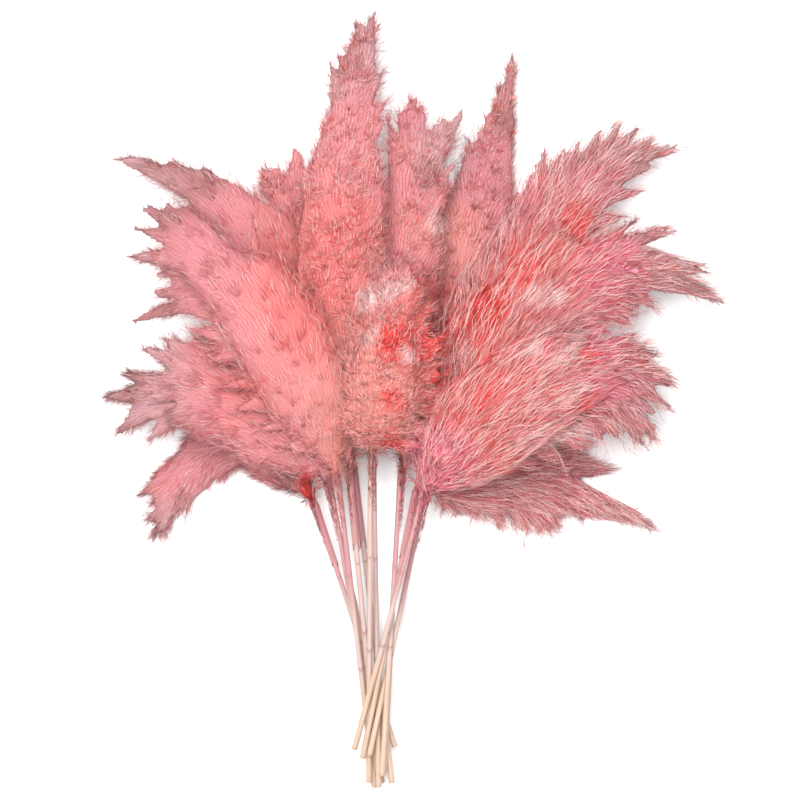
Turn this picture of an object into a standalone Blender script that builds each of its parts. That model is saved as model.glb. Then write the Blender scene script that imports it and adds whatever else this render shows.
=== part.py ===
"""A bunch of thirteen cut and dried pampas grass stalks, lying on its side as it was put down.

Every stalk is a straight cane and a nodding plume. The canes cross at the waist, where a hand would
hold the bunch, in one spiral, so that none of them runs through another. The plumes lie over each
other in four layers, and the lowest layer is pressed flat where it rests. Four canes still wear the
sheath of their last leaf.

+Y runs from the cut ends to the tips, +Z is up. Lengths and places are in millimetres.
"""

import math

import bmesh
import bpy
from mathutils import Vector

MM = 0.001
WELD = 0.02
FLOOR = 4.0

# The waist and the canes that cross there
WAIST = Vector((-32.0, -242.0, 33.0))
CANE_RADIUS = 2.3
CANE_TOP_RADIUS = 1.9
LOWER_JOINT = 0.40
LOWER_JOINT_STEP = 0.02
UPPER_JOINT = 0.70
JOINT_SWELL = 1.16
JOINT_LENGTH = 2.2
JOINT_GAP = 0.5

# The sheaths, each from the upper joint of its cane to just below the plume
SHEATH_CLEARANCE = 0.35
SHEATH_WALL = 0.6
SHEATH_START = 0.725
SHEATH_END = 0.975
SHEATH_SIDES = 10
SHEATH_MOUTH = 7.0

# The body of a plume: its sections, and how it swells from its foot and narrows to its tip
RING_SHARES = (0.0, 0.03, 0.09, 0.17, 0.27, 0.42, 0.60, 0.80, 1.0)
BODY_SIDES = 12
FOOT_RADIUS = 2.6
FOOT_LENGTH = 6.0
TIP_RADIUS = 0.9
NARROWS_FROM = 0.5

# The locks that part from a plume
LOCK_SIDES = 6
LOCK_FLATNESS = 0.7
LOCK_RADII = (5.0, 11.0, 10.0, 5.5, 1.0)
LOCK_LEAN = 0.45

CANE_COLOUR = (0.80, 0.58, 0.46)
SHEATH_COLOUR = (0.74, 0.47, 0.45)
MAUVE = (0.70, 0.36, 0.37)
CORAL = (0.80, 0.30, 0.27)
ROSE = (0.72, 0.31, 0.32)

# One row for each stalk. "waist" is how far its cane passes from the middle of the waist, across and
# up, and "cut" is its length beyond there. "spine" runs from the top of the cane to the tip of the
# plume, "width" is the plume's half width, which it has reached at the share "swell" of the spine,
# and "flatness" is its height as a share of its width. Each lock leaves the spine at a share of its
# length and ends at its own tip.
STALKS = {
    "left_low": {
        "waist": (4.0, -10.5),
        "cut": 42,
        "swell": 0.27,
        "colour": MAUVE,
        "spine": [(-84, -80, 36), (-102, -56, 26), (-128, -32, 17), (-154, -28, 14), (-178, -52, 13),
                  (-200, -86, 11), (-215, -111, 6)],
        "width": 25,
        "flatness": 0.44,
        "locks": [(0.50, (-231, -80, 10)), (0.62, (-187, -91, 9)), (0.40, (-170, -78, 12)),
                  (0.28, (-146, -52, 12)), (0.66, (-222, -97, 8)), (0.34, (-176, -12, 16))],
    },
    "left_mid": {
        "waist": (-6.0, -7.5),
        "cut": 90,
        "swell": 0.3,
        "colour": MAUVE,
        "spine": [(-69, -64, 74), (-92, -34, 84), (-128, -2, 95), (-170, 8, 93), (-212, 8, 82),
                  (-249, 4, 66)],
        "width": 38,
        "flatness": 0.46,
        "locks": [(0.50, (-244, -28, 62)), (0.42, (-220, -35, 70)), (0.60, (-222, -6, 74)),
                  (0.50, (-234, 24, 76)), (0.40, (-222, 45, 86)), (0.22, (-150, -36, 92)),
                  (0.30, (-202, 50, 90)), (0.46, (-234, 10, 74))],
    },
    "left_high": {
        "waist": (-9.0, -2.0),
        "cut": 90,
        "swell": 0.33,
        "colour": MAUVE,
        "spine": [(-62, -59, 92), (-84, 8, 130), (-116, 70, 146), (-156, 108, 142), (-194, 114, 123),
                  (-226, 116, 102)],
        "width": 37,
        "flatness": 0.58,
        "locks": [(0.42, (-232, 62, 98)), (0.55, (-210, 100, 108)), (0.55, (-228, 140, 106)),
                  (0.45, (-220, 155, 112)), (0.30, (-196, 76, 118)), (0.36, (-168, 136, 122)),
                  (0.36, (-200, 152, 120)), (0.42, (-214, 88, 108)), (0.20, (-182, 60, 122)),
                  (0.14, (-166, 46, 120))],
    },
    "left_top": {
        "waist": (0.5, -6.5),
        "cut": 58,
        "swell": 0.38,
        "colour": MAUVE,
        "spine": [(-71, -67, 53), (-76, 8, 60), (-100, 88, 62), (-144, 150, 62), (-192, 184, 60),
                  (-242, 197, 50)],
        "width": 36,
        "flatness": 0.44,
        "locks": [(0.55, (-202, 191, 58)), (0.60, (-204, 176, 56)), (0.45, (-168, 184, 60)),
                  (0.38, (-142, 176, 60)), (0.52, (-196, 160, 58))],
    },
    "centre_left": {
        "waist": (6.0, -5.0),
        "cut": 70,
        "swell": 0.27,
        "colour": CORAL,
        "spine": [(-52, -48, 35), (-64, 18, 24), (-82, 90, 17), (-102, 146, 16), (-122, 193, 12)],
        "width": 37,
        "flatness": 0.44,
        "locks": [(0.55, (-94, 211, 14)), (0.50, (-132, 170, 14)), (0.42, (-78, 200, 15)),
                  (0.30, (-124, 130, 16)), (0.62, (-112, 196, 14))],
    },
    "centre_tall": {
        "waist": (-3.5, -2.0),
        "cut": 64,
        "swell": 0.27,
        "colour": CORAL,
        "spine": [(-54, -52, 80), (-58, 18, 99), (-60, 98, 104), (-56, 178, 99), (-50, 250, 89),
                  (-31, 314, 76)],
        "width": 35,
        "flatness": 0.44,
        "locks": [(0.60, (-68, 274, 86)), (0.64, (-23, 268, 82)), (0.48, (-75, 226, 92)),
                  (0.74, (-30, 290, 80)), (0.50, (-33, 212, 94)), (0.34, (-92, 176, 98)),
                  (0.78, (-52, 288, 84)), (0.70, (-68, 258, 88))],
    },
    "centre_front": {
        "waist": (-5.5, 3.0),
        "cut": 72,
        "swell": 0.33,
        "colour": CORAL,
        "spine": [(-35, -40, 95), (-32, -14, 127), (-24, 26, 157), (-15, 66, 163), (-1, 96, 153)],
        "width": 27,
        "flatness": 0.62,
        "locks": [(0.45, (-38, 94, 150)), (0.50, (18, 80, 144)), (0.30, (-50, 58, 152))],
    },
    "centre_back": {
        "waist": (2.0, -1.0),
        "cut": 73,
        "swell": 0.4,
        "colour": CORAL,
        "spine": [(-34, -42, 51), (-27, 26, 60), (-15, 106, 62), (-2, 178, 60), (-3, 249, 50)],
        "width": 36,
        "flatness": 0.44,
        "locks": [(0.66, (7, 243, 52)), (0.56, (-23, 232, 54)), (0.56, (26, 232, 54)),
                  (0.58, (40, 240, 52)), (0.45, (-38, 196, 58)), (0.62, (17, 226, 54)),
                  (0.48, (-22, 212, 58)), (0.50, (36, 198, 58)), (0.40, (24, 166, 62))],
    },
    "centre_right": {
        "waist": (9.0, 0.0),
        "cut": 60,
        "swell": 0.27,
        "colour": CORAL,
        "spine": [(-10, -51, 35), (14, 26, 25), (38, 106, 17), (58, 178, 16), (73, 238, 15),
                  (81, 282, 12)],
        "width": 36,
        "flatness": 0.44,
        "locks": [(0.50, (72, 200, 16)), (0.55, (44, 220, 15)), (0.66, (84, 236, 14)),
                  (0.40, (26, 184, 17)), (0.72, (70, 262, 13))],
    },
    "right_top": {
        "waist": (8.0, 9.5),
        "cut": 62,
        "swell": 0.38,
        "colour": ROSE,
        "spine": [(-10, -57, 53), (28, 6, 60), (68, 82, 62), (114, 146, 62), (162, 188, 60),
                  (217, 208, 50)],
        "width": 36,
        "flatness": 0.44,
        "locks": [(0.62, (180, 223, 56)), (0.50, (146, 213, 58)), (0.36, (96, 194, 60)),
                  (0.58, (188, 172, 56)), (0.62, (192, 190, 56)), (0.42, (118, 204, 60)),
                  (0.42, (132, 211, 60)), (0.56, (164, 218, 58)), (0.48, (176, 152, 60))],
    },
    "right_high": {
        "waist": (-2.0, 7.0),
        "cut": 50,
        "swell": 0.27,
        "colour": ROSE,
        "spine": [(3, -67, 74), (34, 0, 94), (78, 62, 104), (132, 104, 102), (192, 102, 88),
                  (247, 80, 68)],
        "width": 38,
        "flatness": 0.44,
        "locks": [(0.62, (238, 103, 76)), (0.50, (214, 139, 80)), (0.42, (180, 148, 90)),
                  (0.56, (196, 72, 84)), (0.46, (174, 60, 92)), (0.36, (140, 146, 98)),
                  (0.40, (158, 54, 96))],
    },
    "right_mid": {
        "waist": (-7.5, 8.5),
        "cut": 44,
        "swell": 0.27,
        "colour": ROSE,
        "spine": [(9, -70, 92), (46, -24, 127), (92, 12, 144), (144, 30, 138), (202, 13, 110)],
        "width": 38,
        "flatness": 0.6,
        "locks": [(0.54, (198, 38, 112)), (0.64, (206, -9, 104)), (0.48, (196, -36, 102)),
                  (0.40, (180, 58, 118)), (0.34, (156, -34, 114)), (0.24, (112, -34, 124)),
                  (0.30, (152, 60, 124)), (0.52, (204, -22, 102)), (0.44, (188, -40, 102)),
                  (0.40, (170, -36, 108)), (0.30, (136, -36, 116)), (0.58, (208, 16, 108))],
    },
    "right_low": {
        "waist": (3.5, 6.5),
        "cut": 46,
        "swell": 0.27,
        "colour": ROSE,
        "spine": [(10, -76, 36), (38, -62, 27), (80, -54, 18), (126, -64, 15), (164, -84, 13),
                  (194, -101, 6)],
        "width": 30,
        "flatness": 0.44,
        "locks": [(0.36, (104, -111, 9)), (0.50, (138, -97, 9)), (0.44, (166, -54, 13)),
                  (0.30, (140, -36, 15)), (0.16, (58, -92, 14)), (0.24, (84, -100, 12)),
                  (0.10, (34, -90, 14)), (0.30, (118, -106, 10))],
    },
}
SHEATHED = ("left_low", "centre_left", "centre_tall", "right_high")


def cleared_collection(name):
    """An empty scene, with one new collection in it."""
    for obj in list(bpy.data.objects):
        bpy.data.objects.remove(obj)
    collection = bpy.data.collections.new(name)
    bpy.context.scene.collection.children.link(collection)
    return collection


def smooth_step(value):
    value = min(max(value, 0.0), 1.0)
    return value * value * (3.0 - 2.0 * value)


def along(points, share):
    """The place at a share of the length of a smooth curve through the points."""
    lengths = [(end - start).length for start, end in zip(points, points[1:])]
    rest = share * sum(lengths)
    index = 0
    while index < len(lengths) - 1 and rest > lengths[index]:
        rest -= lengths[index]
        index += 1
    start, end = points[index], points[index + 1]
    before = points[max(index - 1, 0)]
    after = points[min(index + 2, len(points) - 1)]
    t = rest / lengths[index]
    place = 2 * start + (end - before) * t
    place += (2 * before - 5 * start + 4 * end - after) * t ** 2
    place += (3 * start - before - 3 * end + after) * t ** 3
    return place / 2


def section(name, flatness, sides):
    """The outline that a tube takes: an ellipse, one millimetre from its middle to its side."""
    curve = bpy.data.curves.new(name, "CURVE")
    spline = curve.splines.new("POLY")
    spline.points.add(sides - 1)
    spline.use_cyclic_u = True
    for index, point in enumerate(spline.points):
        angle = 2 * math.pi * (index + 0.5) / sides
        point.co = (MM * math.cos(angle), MM * flatness * math.sin(angle), 0.0, 1.0)
    return helper(name, curve)


def helper(name, data):
    obj = bpy.data.objects.new(name, data)
    bpy.context.scene.collection.objects.link(obj)
    return obj


def drop_crumbs(shape):
    """Keeps only the largest piece, because a union can leave a crumb of a few faces inside a solid."""
    unseen = set(shape.faces)
    pieces = []
    while unseen:
        front = [unseen.pop()]
        piece = set(front)
        while front:
            face = front.pop()
            near = {other for edge in face.edges for other in edge.link_faces} & unseen
            unseen -= near
            piece |= near
            front += near
        pieces.append(piece)
    largest = max(pieces, key=len)
    crumbs = [face for piece in pieces if piece is not largest for face in piece]
    bmesh.ops.delete(shape, geom=crumbs, context="FACES")


def mesh_of(obj):
    """The mesh that an object shows, with its loose caps welded on. The object is removed."""
    graph = bpy.context.evaluated_depsgraph_get()
    mesh = bpy.data.meshes.new_from_object(obj.evaluated_get(graph))
    shape = bmesh.new()
    shape.from_mesh(mesh)
    bmesh.ops.remove_doubles(shape, verts=shape.verts, dist=WELD * MM)
    drop_crumbs(shape)
    bmesh.ops.recalc_face_normals(shape, faces=shape.faces)
    shape.to_mesh(mesh)
    shape.free()
    bpy.data.objects.remove(obj)
    return mesh


def tube(name, places, radii, outline=None):
    """A closed mesh along the places, round or with the outline given, level from side to side."""
    curve = bpy.data.curves.new(name, "CURVE")
    curve.dimensions = "3D"
    curve.twist_mode = "Z_UP"
    curve.use_fill_caps = True
    spline = curve.splines.new("POLY")
    spline.points.add(len(places) - 1)
    for point, place, radius in zip(spline.points, places, radii):
        point.co = (*(place * MM), 1.0)
        point.radius = radius
    if outline:
        curve.bevel_mode = "OBJECT"
        curve.bevel_object = outline
    else:
        curve.bevel_depth = MM
        curve.bevel_resolution = 2
    return mesh_of(helper(name, curve))


def add_part(name, mesh, colour, roughness):
    """Links a finished mesh as one part of the bunch, with its own material."""
    material = bpy.data.materials.new(name)
    material.use_nodes = True
    shader = material.node_tree.nodes["Principled BSDF"]
    shader.inputs["Base Color"].default_value = (*colour, 1.0)
    shader.inputs["Roughness"].default_value = roughness
    mesh.materials.clear()
    mesh.materials.append(material)
    mesh.shade_smooth()
    mesh.set_sharp_from_angle(angle=math.radians(40))
    part = bpy.data.objects.new(name, mesh)
    part.parent = bunch
    parts.objects.link(part)
    return part


def cane_line(row):
    """The cut end, the top and the length of a stalk's cane."""
    top = Vector(row["spine"][0])
    across, up = row["waist"]
    passing = WAIST + Vector((across, 0.0, up))
    run = (passing - top).normalized()
    beyond = row["cut"]
    if run.z < 0:
        beyond = min(beyond, (passing.z - CANE_RADIUS - FLOOR) / -run.z)
    cut_end = passing + run * beyond
    return cut_end, top + run * JOINT_GAP


def add_cane(name, row, order):
    """A cane: a slim tapered tube that swells a little at its two joints."""
    cut_end, top = cane_line(row)
    length = (top - cut_end).length
    stations = [(0.0, 1.0)]
    for joint in (LOWER_JOINT + LOWER_JOINT_STEP * (order % 5), UPPER_JOINT):
        reach = JOINT_LENGTH / length
        stations += [(joint - reach, 1.0), (joint, JOINT_SWELL), (joint + reach, 1.0)]
    stations.append((1.0, 1.0))
    places = [cut_end.lerp(top, share) for share, _ in stations]
    radii = [(CANE_RADIUS + (CANE_TOP_RADIUS - CANE_RADIUS) * share) * swell for share, swell in stations]
    add_part("stem_" + name, tube(name, places, radii), CANE_COLOUR, 0.6)


def add_sheath(name, row):
    """The sheath of a leaf: a wall rolled round the cane with its edges apart, cut slanting below."""
    cut_end, top = cane_line(row)
    start = cut_end.lerp(top, SHEATH_START)
    end = cut_end.lerp(top, SHEATH_END)
    radius = CANE_RADIUS + SHEATH_CLEARANCE
    bpy.ops.mesh.primitive_cylinder_add(
        vertices=SHEATH_SIDES, radius=radius * MM, depth=1.0, end_fill_type="NOTHING"
    )
    roll = bpy.context.object
    shape = bmesh.new()
    shape.from_mesh(roll.data)
    open_side = [face for face in shape.faces if face.calc_center_median().y > 0.9 * radius * MM]
    bmesh.ops.delete(shape, geom=open_side, context="FACES")
    for vert in shape.verts:
        vert.co.z = (vert.co.z + 0.5) * (end - start).length * MM
        if vert.co.z < 0.5 * MM:
            vert.co.z += SHEATH_MOUTH * MM * (0.5 + vert.co.y / (2 * radius * MM))
    shape.to_mesh(roll.data)
    shape.free()
    wall = roll.modifiers.new("wall", "SOLIDIFY")
    wall.thickness = SHEATH_WALL * MM
    wall.offset = 1.0
    roll.rotation_mode = "QUATERNION"
    roll.rotation_quaternion = (end - start).to_track_quat("Z", "Y")
    roll.location = start * MM
    place = roll.rotation_quaternion.to_matrix().to_4x4()
    place.translation = start * MM
    mesh = mesh_of(roll)
    mesh.transform(place)
    add_part("sheath_" + name, mesh, SHEATH_COLOUR, 0.7)


def half_width(share, row):
    """How far a plume reaches from its spine, at a share of the spine's length."""
    swollen = FOOT_RADIUS + (row["width"] - FOOT_RADIUS) * smooth_step(share / row["swell"])
    narrowing = smooth_step((share - NARROWS_FROM) / (1.0 - NARROWS_FROM))
    return swollen + (TIP_RADIUS - swollen) * narrowing


def lock(spine, share, tip):
    """A lock of a plume: a flattened tapered tube that leaves the spine and bends to its tip."""
    root = along(spine, share)
    forward = (along(spine, min(share + 0.02, 1.0)) - along(spine, share - 0.02)).normalized()
    tip = Vector(tip)
    bend = root + forward * LOCK_LEAN * (tip - root).length
    places = []
    for index in range(len(LOCK_RADII)):
        t = index / (len(LOCK_RADII) - 1)
        places.append(root * (1 - t) ** 2 + bend * 2 * t * (1 - t) + tip * t ** 2)
    return tube("lock", places, LOCK_RADII, lock_section)


def add_plume(name, row):
    """A plume: a flattened spindle along its spine, and the locks that part from it, in one solid."""
    body_section = section("body_section", row["flatness"], BODY_SIDES)
    cut_end, top = cane_line(row)
    foot = Vector(row["spine"][0])
    spine = [foot, foot + (top - cut_end).normalized() * FOOT_LENGTH]
    spine += [Vector(point) for point in row["spine"][1:]]
    places = [along(spine, share) for share in RING_SHARES]
    radii = [half_width(share, row) for share in RING_SHARES]
    body = helper(name, tube(name, places, radii, body_section))
    tools = [(helper("lock", lock(spine, *each)), "UNION") for each in row["locks"]]
    bpy.ops.mesh.primitive_cube_add(size=2.0, location=(0.0, 0.0, FLOOR * MM - 1.0))
    tools.append((bpy.context.object, "DIFFERENCE"))
    for tool, operation in tools:
        step = body.modifiers.new(operation, "BOOLEAN")
        step.operation = operation
        step.object = tool
    mesh = mesh_of(body)
    bpy.data.objects.remove(body_section)
    for tool, _ in tools:
        bpy.data.objects.remove(tool)
    add_part("plume_" + name, mesh, row["colour"], 0.95)


def rest_on_origin():
    """Moves the whole bunch so that the middle of its underside is the origin."""
    corners = [vert.co for part in bunch.children for vert in part.data.vertices]
    low = Vector([min(corner[axis] for corner in corners) for axis in range(3)])
    high = Vector([max(corner[axis] for corner in corners) for axis in range(3)])
    bunch.location = (-(low.x + high.x) / 2, -(low.y + high.y) / 2, -low.z)


parts = cleared_collection("pampas_bunch")
bunch = bpy.data.objects.new("bunch", None)
parts.objects.link(bunch)
lock_section = section("lock_section", LOCK_FLATNESS, LOCK_SIDES)
for order, (name, row) in enumerate(STALKS.items()):
    add_cane(name, row, order)
    add_plume(name, row)
for name in SHEATHED:
    add_sheath(name, STALKS[name])
bpy.data.objects.remove(lock_section)
rest_on_origin()
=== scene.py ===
import math

import bmesh
import bpy
import numpy as np
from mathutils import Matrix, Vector
from mathutils.bvhtree import BVHTree


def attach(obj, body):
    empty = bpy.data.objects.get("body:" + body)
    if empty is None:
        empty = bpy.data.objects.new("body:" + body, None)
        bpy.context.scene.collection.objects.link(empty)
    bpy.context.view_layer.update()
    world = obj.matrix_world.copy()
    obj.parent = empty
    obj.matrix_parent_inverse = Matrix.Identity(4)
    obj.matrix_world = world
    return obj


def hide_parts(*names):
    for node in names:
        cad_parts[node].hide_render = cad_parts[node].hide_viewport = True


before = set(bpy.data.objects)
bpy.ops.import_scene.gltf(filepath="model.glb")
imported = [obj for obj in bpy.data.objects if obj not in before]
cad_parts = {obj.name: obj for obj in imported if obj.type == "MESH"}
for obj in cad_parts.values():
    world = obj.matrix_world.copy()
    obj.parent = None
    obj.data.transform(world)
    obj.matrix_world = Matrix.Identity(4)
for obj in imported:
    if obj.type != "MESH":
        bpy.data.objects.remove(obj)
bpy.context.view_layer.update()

bpy.ops.object.select_all(action="DESELECT")

# The canes: slim culms of dried grass, dyed with the plumes above and faded to straw below. Each grew in
# one piece with two joints, and was cut through below the hand, where its pith has shrunk back.
MM = 0.001
CANE_SIDES = 16
CANE_RADIUS = 2.3
CANE_TAPER = 0.8
FLUTE = 0.025
PITH_DEPTH = 0.006
LOWER_JOINT = 0.40
LOWER_JOINT_STEP = 0.02
UPPER_JOINT = 0.70

# How thick a cane is along its length, from the cut end up: at a joint it swells to a ridge, with a
# groove above it where the last sheath fell off.
CANE_PROFILE = [
    (0.003, 1.0), (0.1, 1.02), (0.2, 0.99), (0.3, 1.0), (0.386, 1.01), (0.396, 1.04), (0.4, 1.08),
    (0.403, 1.08), (0.405, 1.01), (0.409, 1.03), (0.422, 0.99), (0.5, 1.0), (0.6, 0.99), (0.688, 1.0),
    (0.697, 1.04), (0.7, 1.08), (0.703, 1.08), (0.705, 1.01), (0.709, 1.03), (0.72, 0.99), (0.85, 1.0), (1.0, 0.98),
]


def linear(red, green, blue, share=1.0):
    """The linear colour of a screen colour from 0 to 255, or a share of it."""
    return tuple(share * (c / 255 / 12.92 if c < 10.3 else ((c / 255 + 0.055) / 1.055) ** 2.4)
                 for c in (red, green, blue))


def node_material(name):
    """A new material, with its shader's nodes and links at hand."""
    material = bpy.data.materials.new(name)
    material.use_nodes = True
    tree = material.node_tree
    return material, tree.nodes, tree.links, tree.nodes["Principled BSDF"]


def ramp_of(nodes, stops):
    """A colour ramp with the stops given, each a position and a colour."""
    ramp = nodes.new("ShaderNodeValToRGB")
    elements = ramp.color_ramp.elements
    for element, (position, colour) in zip(elements, (stops[0], stops[-1])):
        element.position = position
        element.color = (*colour, 1.0)
    for position, colour in stops[1:-1]:
        elements.new(position).color = (*colour, 1.0)
    return ramp


def multiplied(nodes, links, first, second):
    mix = nodes.new("ShaderNodeMix")
    mix.data_type = "RGBA"
    mix.blend_type = "MULTIPLY"
    mix.inputs["Factor"].default_value = 1.0
    links.new(first, mix.inputs["A"])
    links.new(second, mix.inputs["B"])
    return mix.outputs["Result"]


def fibre_material(name, stops, fibres, contrast, roughness):
    """Dry grass: colours along its length, and fine lengthwise fibres across the map."""
    material, nodes, links, shader = node_material(name)
    uv = nodes.new("ShaderNodeUVMap")
    uv.uv_map = "OFBake"
    parts = nodes.new("ShaderNodeSeparateXYZ")
    links.new(uv.outputs["UV"], parts.inputs["Vector"])
    dye = ramp_of(nodes, stops)
    links.new(parts.outputs["Y"], dye.inputs["Fac"])
    stretch = nodes.new("ShaderNodeMapping")
    stretch.inputs["Scale"].default_value = (fibres, 9.0, 1.0)
    links.new(uv.outputs["UV"], stretch.inputs["Vector"])
    noise = nodes.new("ShaderNodeTexNoise")
    noise.inputs["Scale"].default_value = 1.0
    noise.inputs["Detail"].default_value = 4.0
    links.new(stretch.outputs["Vector"], noise.inputs["Vector"])
    grain = ramp_of(nodes, [(0.3, (1.0 - 0.7 * contrast, 1.0 - contrast, 1.0 - contrast)), (0.6, (1.0, 1.0, 1.0))])
    links.new(noise.outputs["Fac"], grain.inputs["Fac"])
    links.new(multiplied(nodes, links, dye.outputs["Color"], grain.outputs["Color"]), shader.inputs["Base Color"])
    bump = nodes.new("ShaderNodeBump")
    bump.inputs["Strength"].default_value = 0.4
    bump.inputs["Distance"].default_value = 0.15 * MM
    links.new(noise.outputs["Fac"], bump.inputs["Height"])
    links.new(bump.outputs["Normal"], shader.inputs["Normal"])
    shader.inputs["Roughness"].default_value = roughness
    return material


def facing(mesh, upward):
    """Selects the end face of the piece in edit mode that looks up or down."""
    bpy.ops.mesh.select_all(action="DESELECT")
    shape = bmesh.from_edit_mesh(mesh)
    for face in shape.faces:
        face.select = face.normal.z * upward > 0.9
    bmesh.update_edit_mesh(mesh)


def straight_cane():
    """A cane of length one, standing on its cut end, ring by ring from the profile."""
    height, thick = CANE_PROFILE[0]
    bpy.ops.mesh.primitive_cylinder_add(
        vertices=CANE_SIDES, radius=CANE_RADIUS * MM * thick, depth=height, location=(0.0, 0.0, height / 2)
    )
    cane = bpy.context.object
    bpy.ops.object.transform_apply(location=True, rotation=False, scale=False)
    bpy.ops.object.mode_set(mode="EDIT")
    bpy.ops.mesh.select_mode(type="FACE")
    facing(cane.data, 1)
    for next_height, next_thick in CANE_PROFILE[1:]:
        bpy.ops.mesh.extrude_region_move(TRANSFORM_OT_translate={"value": (0.0, 0.0, next_height - height)})
        growth = next_thick / thick
        bpy.ops.transform.resize(value=(growth, growth, 1.0))
        height, thick = next_height, next_thick
    facing(cane.data, -1)
    bpy.ops.mesh.inset(thickness=0.3 * CANE_RADIUS * MM)
    bpy.ops.transform.translate(value=(0.0, 0.0, PITH_DEPTH))
    bpy.ops.object.mode_set(mode="OBJECT")
    return cane


def corners_of(mesh):
    places = np.zeros(3 * len(mesh.vertices), np.float32)
    mesh.vertices.foreach_get("co", places)
    return places.reshape(-1, 3).astype(float) / MM


def set_corners(mesh, places):
    mesh.vertices.foreach_set("co", (places * MM).astype(np.float32).ravel())
    mesh.update()


def lengthwise_map(mesh, radius):
    """A map of a straight stalk: halfway round it across, and from its cut end to its top upward."""
    places = corners_of(mesh)
    turn = np.arctan2(places[:, 1], places[:, 0])
    wall = np.hypot(places[:, 0], places[:, 1]) / radius - 1.0
    u = 0.02 + 0.96 * np.abs(turn) / math.pi
    v = 0.05 + 0.9 * places[:, 2] * MM + 0.01 * np.sin(turn) + 0.02 * wall
    corner = np.zeros(len(mesh.loops), np.int32)
    mesh.loops.foreach_get("vertex_index", corner)
    while mesh.uv_layers:
        mesh.uv_layers.remove(mesh.uv_layers[0])
    layer = mesh.uv_layers.new(name="OFBake")
    layer.data.foreach_set("uv", np.stack([u, v], axis=1)[corner].clip(0.0, 1.0).astype(np.float32).ravel())


def cane_ends(form):
    """The middles of the cut end and of the top of a cane, from the eight corners of each."""
    places = corners_of(form)
    order = np.argsort(places[:, 1])
    return places[order[:8]].mean(axis=0), places[order[-8:]].mean(axis=0)


def laid_along(places, cut_end, top):
    """Turns places of an upright stalk, with heights as shares of its length, to lie between two ends."""
    run = top - cut_end
    along = run / np.linalg.norm(run)
    level = np.cross(along, (0.0, 0.0, 1.0))
    level = level / np.linalg.norm(level)
    upward = np.cross(level, along)
    return (cut_end + places[:, 2:3] * MM * run + places[:, 0:1] * level + places[:, 1:2] * upward)


def part_of(piece, node):
    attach(piece, "root")
    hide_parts(node)


STRAW = linear(234, 203, 178, 0.62)
FADED = linear(230, 202, 192, 0.62)
JOINT_MARK = linear(200, 152, 138, 0.58)


def cane_stops(dye):
    return [(0.05, linear(214, 178, 150, 0.56)), (0.07, STRAW), (0.3, STRAW), (0.398, FADED),
            (0.409, JOINT_MARK), (0.413, FADED), (0.55, FADED), (0.672, dye), (0.679, JOINT_MARK),
            (0.683, dye), (0.95, dye)]


CANES = {
    "left": fibre_material("cane_mauve", cane_stops(linear(222, 164, 168, 0.60)), 26.0, 0.36, 0.6),
    "centre": fibre_material("cane_pale", cane_stops(linear(230, 200, 192, 0.62)), 26.0, 0.30, 0.6),
    "right": fibre_material("cane_pink", cane_stops(linear(222, 166, 168, 0.60)), 26.0, 0.36, 0.6),
}
cane = straight_cane()
lengthwise_map(cane.data, CANE_RADIUS)
stalks = [name[5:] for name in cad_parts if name.startswith("stem_")]
for order, name in enumerate(stalks):
    mesh = cane.data.copy()
    mesh.name = "cane_" + name
    places = corners_of(mesh)
    turn = np.arctan2(places[:, 1], places[:, 0])
    share = places[:, 2] * MM
    thick = (1.0 + (CANE_TAPER - 1.0) * share) * (1.0 + FLUTE * np.cos(CANE_SIDES / 2 * turn))
    places[:, :2] *= thick[:, None]
    joint = LOWER_JOINT + LOWER_JOINT_STEP * (order % 5)
    places[:, 2] = np.interp(share, (0.0, LOWER_JOINT, UPPER_JOINT, 1.0), (0.0, joint, UPPER_JOINT, 1.0)) / MM
    set_corners(mesh, laid_along(places, *cane_ends(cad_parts["stem_" + name].data)))
    mesh.materials.append(CANES[name.split("_")[0]])
    mesh.shade_smooth()
    mesh.set_sharp_from_angle(angle=math.radians(50))
    piece = bpy.data.objects.new("cane_" + name, mesh)
    bpy.context.scene.collection.objects.link(piece)
    part_of(piece, "stem_" + name)
bpy.data.objects.remove(cane)

# The sheaths: what is left of the last leaf of four stalks, thin and papery, rolled round the cane with
# its edges apart. Each has lengthwise veins, a ragged slanting mouth below and a free tongue above.
SHEATH_SIDES = 12
SHEATH_CUTS = 3
SHEATH_CLEARANCE = 0.45
SHEATH_WALL = 0.3
SHEATH_START = 0.725
SHEATH_END = 0.975
SHEATH_MOUTH = 0.03
VEIN = 0.03
SHEATH_RADIUS = CANE_RADIUS * (1.0 + (CANE_TAPER - 1.0) * SHEATH_START) + SHEATH_CLEARANCE


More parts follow.
